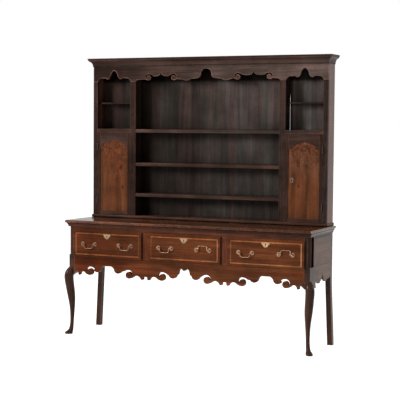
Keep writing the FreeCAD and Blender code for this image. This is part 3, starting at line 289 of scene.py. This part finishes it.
def metal(name, tone, tarnish, rough, metallic=1.0, fades=()):
    """Old metal: rubbed bright on its high places, tarnished in its hollows."""
    look = Look(name)
    spots = look.noise(look.place, 160.0, 4.0, 0.6)
    clouds = look.noise(look.place, 35.0, 2.0)
    colour = look.mix(look.rise(clouds, 0.3, 0.7), tone, scaled(tone, 0.7))
    colour = look.mix(look.rise(spots, 0.45, 0.75, 0.0, 0.75), colour, tarnish)
    colour = look.faded(colour, fades)
    colour = look.mix(look.rise(look.openness(HANDLE_REACH), 0.25, 0.9, 0.9, 0.0), colour, tarnish)
    look.feed(look.shader.inputs["Base Color"], colour)
    look.feed(look.shader.inputs["Roughness"], look.rise(spots, 0.3, 0.7, rough - 0.08, rough + 0.16))
    look.feed(look.shader.inputs["Normal"], look.bump(spots, 0.0003, 0.3))
    look.shader.inputs["Metallic"].default_value = metallic
    return look.material


def bone(name, tone, plate):
    """Yellowed bone, with fine lines along it and brown dirt at its tips, its rim and its keyhole."""
    look = Look(name)
    lines = look.noise(look.times(look.place, (900.0, 900.0, 90.0)), 1.0, 2.0)
    stain = look.noise(look.place, 60.0, 3.0)
    colour = look.mix(look.rise(stain, 0.35, 0.7), tone, scaled(tone, 0.72, 0.62, 0.45))
    colour = look.mix(look.rise(lines, 0.5, 0.75, 0.0, 0.35), colour, (0.25, 0.15, 0.07))
    colour = look.mix(look.rise(look.openness(RIM_REACH), 0.35, 0.95, 0.7, 0.0), colour, (0.10, 0.05, 0.025))
    low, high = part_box(plate)
    middle, half = (low.x + high.x) / 2, (high.x - low.x) / 2
    across = look.calc("ABSOLUTE", look.calc("SUBTRACT", look.axis("X"), middle))
    dirt = look.rise(across, half - TIP_REACH, half)
    dirt = look.calc("MAXIMUM", dirt, look.rise(look.axis("Z"), low.z, low.z + FOOT_REACH, 1.0, 0.0))
    colour = look.mix(look.calc("MULTIPLY", dirt, 0.85), colour, (0.10, 0.045, 0.02))
    look.feed(look.shader.inputs["Base Color"], colour)
    look.feed(look.shader.inputs["Roughness"], look.rise(stain, 0.3, 0.7, 0.32, 0.5))
    look.feed(look.shader.inputs["Normal"], look.bump(lines, 0.0002, 0.2))
    return look.material


def drawer_front(drawer):
    """The oak of a drawer front, with a black painted shadow along its right edge."""
    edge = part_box(f"drawer_{drawer}_front")[1].x
    return oak(
        f"drawer_{drawer}_oak", (0.140, 0.0405, 0.0155), "X", wear=0.5,
        fades=[
            (*LEFT_HALF, (0.68, 0.62, 0.56), (1.02, 1.04, 1.02)),
            ("X", edge - EDGE_SHADOW_BEGINS, edge - EDGE_SHADOW_DARKEST, WHITE, (0.15, 0.08, 0.05)),
        ],
    )


# Where each plank of the rack's back begins, and its tone beside its neighbours
# The tones are partly the planks' own, partly painted shade, darker to the left, and a painted sheen,
# lighter to the right
PLANKS = [
    (-0.917, 0.85, 0.78, 0.78), (-0.759, 0.7, 0.72, 0.72), (-0.600, 0.44, 0.50, 0.50),
    (-0.429, 0.58, 0.70, 0.70), (-0.279, 0.82, 0.88, 0.94), (-0.105, 1.08, 1.28, 1.38),
    (0.084, 1.3, 1.5, 1.7), (0.205, 1.22, 1.5, 1.7), (0.345, 1.22, 1.55, 1.7),
    # 0.620 is no joint: this step, hidden behind a divider, is painted light that lifts the right niche's
    #                    back out of the divider's shadow
    (0.471, 1.1, 1.3, 1.4), (0.620, 2.4, 3.1, 3.4), (0.761, 1.4, 1.9, 2.15),
]
# The same for the upright strips of the drawers' bands
STRIPS = [
    (-0.9, 0.5, 0.55, 0.75), (-0.6, 0.44, 0.41, 0.48), (-0.3, 0.45, 0.4, 0.5), (0.0, 1.05, 1.1, 1.6),
    (0.3, 0.56, 0.6, 0.75), (0.6, 1.35, 1.65, 2.2),
]

WHITE = (1.0, 1.0, 1.0)
RACK = (0.052, 0.027, 0.020)
BASE = (0.150, 0.049, 0.0215)
DARK_BASE = (0.075, 0.030, 0.017)

# The knots of the door panels: across, up and radius, in metres
LEFT_KNOTS = [
    (-0.712, 1.287, 0.017), (-0.698, 1.220, 0.014), (-0.727, 1.130, 0.008), (-0.680, 1.071, 0.010),
]
RIGHT_KNOTS = [(0.712, 1.276, 0.016), (0.774, 1.254, 0.015), (0.714, 1.117, 0.007)]

# Where a tone fades across the dresser: along an axis, from one place to another
SPAN = ("X", -0.95, 0.95)
LEFT_HALF = ("X", -0.75, 0.05)
cornice_low, cornice_top = (corner.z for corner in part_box("cornice"))
LOOKS = {
    # Its pale rubbed edges are wear and partly a painted highlight along the nose; its ends take a paler
    # colour with a painted sheen in it
    "dresser_board": oak(
        "oak_board", (0.105, 0.034, 0.013), "X", wear=1.0, worn=(0.60, 0.34, 0.24), rim=0.012, rub=0.1,
        rough=0.16, shine=0.1, side_colour_and_sheen=(0.20, 0.12, 0.085),
    ),
    # Its returns take a greyer colour with a painted sheen in it
    "board_moulding": oak(
        "oak_moulding", (0.080, 0.023, 0.009), "X", wear=0.7, grime_and_shade=0.9, rough=0.13, shine=0.08,
        returns=True, side_colour_and_sheen=(0.050, 0.030, 0.022), fades=[(*SPAN, (1.1, 1.1, 1.1), (0.6, 0.6, 0.65))],
    ),
    "front_apron": oak(
        "oak_apron", BASE, "X", wear=0.5, fades=[(*LEFT_HALF, (0.71, 0.49, 0.33), (1.15, 1.1, 0.95))],
    ),
    "drawer_rail": oak(
        "oak_rail", BASE, "X", wear=0.6, contrast=0.7, grime_and_shade=0.9,
        fades=[
            (*SPAN, (0.72, 0.72, 0.85), (0.86, 1.0, 1.35)),
            # Darker towards the right end: painted shade under the board
            ("X", 0.2, 0.65, WHITE, (0.68, 0.68, 0.65)),
        ],
    ),
    "drawer_dividers": oak(
        "oak_muntin", (0.166, 0.053, 0.0265), "Z", wear=0.4, grime_and_shade=0.9,
        fades=[("X", -0.35, 0.35, (0.78, 0.74, 0.6), (1.22, 1.12, 1.2))],
    ),
    "knee_brackets": oak("oak_bracket", DARK_BASE, "X", wear=0.5, rough=0.13, shine=0.1, returns=True),
    "cornice": oak(
        "rack_cornice", (0.078, 0.043, 0.034), "X", wear=0.5, returns=True,
        fades=[
            (*SPAN, (0.95, 0.95, 0.95), (1.15, 1.3, 1.4)),
            # Dark along its top edge and along its foot
            ("Z", cornice_top - 0.014, cornice_top - 0.009, WHITE, (0.5, 0.45, 0.45)),
            ("Z", cornice_low, cornice_low + 0.016, (0.4, 0.36, 0.36), WHITE),
        ],
    ),
    # Darker to the left, lighter and greyer to the right: a painted sheen
    "frieze": oak(
        "rack_frieze", (0.057, 0.031, 0.023), "X", wear=1.0, worn=(0.30, 0.15, 0.10), rim=0.011, rub=0.08,
        fades=[(*SPAN, (0.59, 0.59, 0.59), (2.4, 3.0, 3.55))],
    ),
    "rack_plinth": oak("rack_plinth", (0.092, 0.047, 0.032), "X", wear=1.0, worn=(0.36, 0.20, 0.13)),
    # Darker towards the bottom; on its front faces, a painted shadow under the frieze, almost black from
    # 1.868 m up
    "back_boards": oak(
        "rack_back", (0.0435, 0.029, 0.0243), "Z", contrast=0.4, wear=0.15, fine=0.35, hue=0.45,
        boards=PLANKS, fades=[("Z", 1.05, 1.9, (0.75, 0.79, 0.75), (1.38, 1.36, 1.35))], painted_shadow=(1.84, 1.868),
    ),
    "long_shelves": oak(
        "shelf_oak", (0.074, 0.041, 0.031), "X", wear=0.6,
        fades=[("Z", 1.25, 1.5, WHITE, (1.25, 1.45, 1.55))],
    ),
    "niche_shelves": oak("niche_oak", (0.030, 0.018, 0.014), "X", wear=0.2),
    "cupboard_tops": oak(
        "cupboard_oak", (0.060, 0.032, 0.024), "X", wear=0.7, fades=[(*SPAN, WHITE, (1.5, 1.75, 1.9))],
    ),
    "rack_top_board": oak("rack_top", RACK, "X", wear=0.5),
}
UPRIGHT = "front_leg_left front_leg_right rear_leg_right quarter_columns".split()
RACK_SIDES = "rack_side_left rack_side_right".split()
RACK_UPRIGHT = "rack_dividers rack_stiles".split()
INSIDE = "base_back drawer_runners".split()
LOOKS |= dict.fromkeys(
    UPRIGHT,
    oak(
        "oak_upright", DARK_BASE, "Z", wear=0.5, grime_and_shade=0.9, rough=0.13, shine=0.1,
        fades=[("Z", 0.52, 0.58, WHITE, (0.55, 0.5, 0.5))],
    ),
)
# Painted shade: this leg darker than the others, darkest from 0.4 m up
LOOKS["rear_leg_left"] = oak(
    "oak_rear_left", DARK_BASE, "Z", wear=0.5, grime_and_shade=0.9, rough=0.13, shine=0.1,
    fades=[("Z", 0.1, 0.4, (0.60, 0.55, 0.52), (0.34, 0.30, 0.27))],
)
SIDE_OAK = (0.155, 0.083, 0.054)
panel_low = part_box("side_panels")[0].z
moulding_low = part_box("board_moulding")[0].z
LOOKS["side_aprons"] = oak("oak_side_aprons", SIDE_OAK, "Y", wear=0.4, contrast=0.3, shine=0.07)
LOOKS["side_panels"] = oak(
    "oak_side_panels", SIDE_OAK, "Y", wear=0.4, contrast=0.3, shine=0.07,
    # Dark along the joint with the apron below, and a painted shadow along the joint under the moulding
    # above
    fades=[
        ("Z", panel_low + 0.004, panel_low + 0.006, (0.08, 0.08, 0.08), WHITE),
        ("Z", moulding_low - 0.020, moulding_low - 0.012, WHITE, (0.1, 0.1, 0.1)),
    ],
)
LOOKS |= dict.fromkeys(
    RACK_SIDES, oak("rack_sides", (0.148, 0.056, 0.033), "Z", wear=0.4, contrast=0.3, shine=0.12),
)
LOOKS |= dict.fromkeys(
    RACK_UPRIGHT,
    oak(
        "rack_upright", (0.048, 0.028, 0.0235), "Z", wear=0.5,
        fades=[(*SPAN, (0.85, 0.82, 0.8), (1.0, 1.05, 1.15))],
    ),
)
LOOKS |= dict.fromkeys(INSIDE, oak("inside_bare", (0.20, 0.12, 0.065), "X", wear=0.1, rough=0.6))

DRAWER_BOX = oak("drawer_box_oak", (0.24, 0.15, 0.085), "Y", wear=0.1, rough=0.6)
DOOR_ACROSS = oak("door_across", (0.071, 0.039, 0.031), "X", wear=0.25)
DOOR_UPRIGHT = oak("door_upright", (0.048, 0.024, 0.017), "Z", wear=0.25)
PANEL = (0.150, 0.053, 0.023)
BAND_ACROSS = oak(
    "band_across", (0.38, 0.13, 0.042), "Z", wear=0.0, contrast=0.3,
    fades=[(*SPAN, (0.84, 0.78, 0.85), (1.22, 1.35, 1.5))],
)
BAND_UPRIGHT = oak("band_upright", (0.46, 0.165, 0.060), "X", wear=0.0, contrast=0.3, boards=STRIPS)
BRASS = metal(
    "old_brass", (0.47, 0.29, 0.165), (0.10, 0.05, 0.028), 0.28, 0.8,
    fades=[("X", -0.8, 0.3, (0.50, 0.465, 0.465), (0.88, 0.83, 0.85))],
)
DULL_BRASS = metal("dull_brass", (0.17, 0.085, 0.05), (0.05, 0.03, 0.02), 0.5, 0.2)
IRON = metal("dark_iron", (0.045, 0.030, 0.024), (0.03, 0.018, 0.012), 0.5, 0.4)
# The bone of each drawer's shield
BONES = {"left": (0.42, 0.26, 0.13), "middle": (0.48, 0.32, 0.18), "right": (0.80, 0.52, 0.30)}

for drawer in DRAWERS:
    LOOKS[f"drawer_{drawer}_front"] = drawer_front(drawer)
    LOOKS[f"drawer_{drawer}_box"] = DRAWER_BOX
    shield = f"drawer_{drawer}_escutcheon"
    LOOKS[shield] = bone(f"bone_{drawer}", BONES[drawer], shield)
    LOOKS[f"drawer_{drawer}_lock"] = IRON
    for piece in ("handle_posts", "bail_left", "bail_right"):
        LOOKS[f"drawer_{drawer}_{piece}"] = BRASS
for door in ("left", "right"):
    LOOKS[f"door_{door}_stiles"] = DOOR_UPRIGHT
    LOOKS[f"door_{door}_rails"] = DOOR_ACROSS
    LOOKS[f"door_{door}_hinge_leaves"] = IRON
LOOKS["door_left_panel"] = oak(
    "door_left_panel_oak", PANEL, "Z", wear=0.3, fine=0.4, knots=LEFT_KNOTS, burr=(1.10, 1.38),
    fades=[("Z", 1.1, 1.4, (0.88, 0.89, 0.85), (0.74, 0.78, 0.80))],
)
LOOKS["door_right_panel"] = oak(
    "door_right_panel_oak", PANEL, "Z", wear=0.3, fine=0.4, knots=RIGHT_KNOTS, burr=(1.16, 1.40),
    fades=[("Z", 1.1, 1.4, WHITE, (1.28, 1.75, 2.5))],
)
LOOKS["door_right_escutcheon"] = DULL_BRASS
LOOKS["door_right_lock"] = IRON
LOOKS["fixed_hinge_leaves"] = IRON

for name, node in nodes.items():
    node.data.materials.clear()
    node.data.materials.append(LOOKS[name])


def band(name, centre, face):
    """The inlaid band of a drawer front: four mitred strips let into its face."""
    mesh = bpy.data.meshes.new(name)
    work = bmesh.new()
    half, low, high, width = BAND_HALF_LENGTH, BAND_LOW, BAND_HIGH, BAND_WIDTH
    outer = [(-half, low), (half, low), (half, high), (-half, high)]
    inner = [(x - math.copysign(width, x), z + (width if z == low else -width)) for x, z in outer]
    for index in range(4):
        after = (index + 1) % 4
        corners = [outer[index], outer[after], inner[after], inner[index]]
        front = [work.verts.new((centre + x, face - BAND_PROUD, z)) for x, z in corners]
        rear = [work.verts.new((centre + x, face + BAND_DEPTH, z)) for x, z in corners]
        faces = [work.faces.new(front), work.faces.new(rear[::-1])]
        for k in range(4):
            faces.append(work.faces.new((front[k], rear[k], rear[(k + 1) % 4], front[(k + 1) % 4])))
        for made in faces:
            made.material_index = index % 2
    bmesh.ops.recalc_face_normals(work, faces=work.faces)
    work.to_mesh(mesh)
    work.free()
    mesh.materials.append(BAND_ACROSS)
    mesh.materials.append(BAND_UPRIGHT)
    piece = bpy.data.objects.new(name, mesh)
    bpy.context.scene.collection.objects.link(piece)
    return piece


for drawer, centre in DRAWERS.items():
    strip = band(f"drawer_{drawer}_band", centre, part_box(f"drawer_{drawer}_front")[0].y)
    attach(strip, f"drawer_{drawer}")


def looked_at(tree):
    """1 for the camera's rays and for those that metal, gloss or glass sends on, 0 for the rest."""
    path = tree.nodes.new("ShaderNodeLightPath")
    seen = path.outputs["Is Camera Ray"]
    for kind in ("Is Glossy Ray", "Is Transmission Ray"):
        either = tree.nodes.new("ShaderNodeMath")
        either.operation = "MAXIMUM"
        tree.links.new(seen, either.inputs[0])
        tree.links.new(path.outputs[kind], either.inputs[1])
        seen = either.outputs[0]
    return seen


def floor():
    """A pale floor that shows white and keeps the object's shadow."""
    look = Look("studio_floor")
    look.shader.inputs["Base Color"].default_value = (0.55, 0.55, 0.55, 1.0)
    look.shader.inputs["Roughness"].default_value = 0.9
    strength = look.calc("MULTIPLY", looked_at(look.tree), 0.85)
    glow = look.add("Emission", {"Color": (1.0, 1.0, 1.0), "Strength": strength})
    both = look.add("AddShader", {0: look.shader.outputs[0], 1: glow.outputs[0]})
    look.tree.links.new(both.outputs[0], look.tree.nodes["Material Output"].inputs["Surface"])
    mesh = bpy.data.meshes.new("studio_floor")
    corners = [(-1, -1), (1, -1), (1, 1), (-1, 1)]
    mesh.from_pydata([(FLOOR_HALF * x, FLOOR_HALF * y, 0) for x, y in corners], [], [(0, 1, 2, 3)])
    mesh.materials.append(look.material)
    ground = bpy.data.objects.new("studio_floor", mesh)
    bpy.context.scene.collection.objects.link(ground)


def surround():
    """A world that shows white and lights the object mostly from behind."""
    world = bpy.data.worlds.new("studio")
    bpy.context.scene.world = world
    world.use_nodes = True
    tree = world.node_tree
    lit = tree.nodes["Background"]
    white = tree.nodes.new("ShaderNodeBackground")
    white.inputs["Color"].default_value = (1.0, 1.0, 1.0, 1.0)
    way = tree.nodes.new("ShaderNodeSeparateXYZ")
    tree.links.new(tree.nodes.new("ShaderNodeTexCoord").outputs["Generated"], way.inputs[0])
    ramp = tree.nodes.new("ShaderNodeValToRGB")
    spread = tree.nodes.new("ShaderNodeMapRange")
    spread.inputs["From Min"].default_value = -1.0
    tree.links.new(way.outputs["Y"], spread.inputs["Value"])
    tree.links.new(spread.outputs[0], ramp.inputs[0])
    first, last = ramp.color_ramp.elements
    first.position = 0.45
    first.color = (0.045, 0.045, 0.045, 1.0)
    last.position = 0.97
    last.color = (1.3, 1.28, 1.25, 1.0)
    tree.links.new(ramp.outputs[0], lit.inputs["Color"])
    choose = tree.nodes.new("ShaderNodeMixShader")
    tree.links.new(looked_at(tree), choose.inputs[0])
    tree.links.new(lit.outputs[0], choose.inputs[1])
    tree.links.new(white.outputs[0], choose.inputs[2])
    tree.links.new(choose.outputs[0], tree.nodes["World Output"].inputs["Surface"])


def lamp(name, place, aim, size, power):
    """A soft box at a place, turned to its aim."""
    light = bpy.data.lights.new(name, "AREA")
    light.shape = "RECTANGLE"
    light.size, light.size_y = size
    light.energy = power
    holder = bpy.data.objects.new(name, light)
    turn = (Vector(aim) - Vector(place)).to_track_quat("-Z", "Y").to_matrix().to_4x4()
    holder.matrix_world = Matrix.Translation(place) @ turn
    bpy.context.scene.collection.objects.link(holder)


def viewpoint():
    """The photograph's camera, from the lines of the dresser in it."""
    yaw, pitch, roll = 0.43292, -0.05993, 0.00772
    ahead = Vector((-math.sin(yaw) * math.cos(pitch), math.cos(yaw) * math.cos(pitch), math.sin(pitch)))
    level = Vector((math.cos(yaw), math.sin(yaw), 0.0))
    over = level.cross(ahead)
    right = math.cos(roll) * level + math.sin(roll) * over
    above = right.cross(ahead)
    data = bpy.data.cameras.new("viewpoint")
    data.lens = 106.515
    data.sensor_width = 36.0
    data.shift_x = 0.0015
    data.shift_y = -0.002
    camera = bpy.data.objects.new("viewpoint", data)
    place = (3.5508, -7.6565, 1.5146)
    turn = Matrix((right, above, -ahead)).transposed().to_4x4()
    camera.matrix_world = Matrix.Translation(place) @ turn
    bpy.context.scene.collection.objects.link(camera)
    bpy.context.scene.camera = camera


floor()
surround()
lamp("key", (-5.9, -6.6, 4.6), (0.0, 0.0, 1.3), (3.4, 2.6), 800.0)
lamp("fill", (2.6, -6.5, 3.0), (0.3, 0.0, 1.0), (2.2, 1.6), 45.0)
lamp("side", (4.6, 1.6, 2.4), (0.93, 0.1, 1.0), (1.6, 1.6), 40.0)
viewpoint()
bpy.context.scene.view_settings.view_transform = "Standard"
